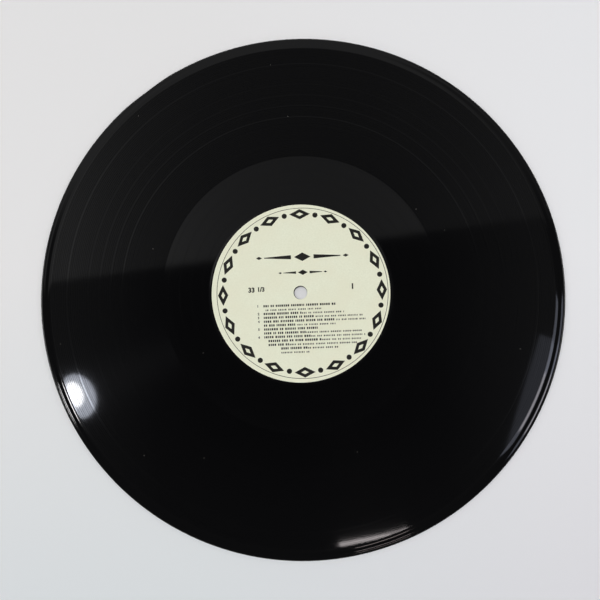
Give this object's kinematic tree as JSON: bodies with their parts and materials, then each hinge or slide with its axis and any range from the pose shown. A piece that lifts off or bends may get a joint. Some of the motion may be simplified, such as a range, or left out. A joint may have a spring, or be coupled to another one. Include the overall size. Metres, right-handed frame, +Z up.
{
  "type": "vinyl record",
  "caption": "Round flat gramophone record with level faces, a slightly thinner rim, fine concentric grooves, a paper label on each side and a central spindle hole.",
  "frame": {"origin": "centre of the spindle hole, on the plane that the record rests on", "axes": "+Z up out of side 1 along the spindle hole, +X towards the right of the side 1 label's print, +Y towards its top"},
  "size_m": [0.3016, 0.3016, 0.002],
  "materials": {
    "vinyl": "pressed black PVC, glossy, with fine grooves",
    "label_paper": "uncoated cream label paper with dark print"
  },
  "bodies": {
    "root": {"disc": "vinyl", "label_side_1": "label_paper", "label_side_2": "label_paper"}
  },
  "joints": []
}
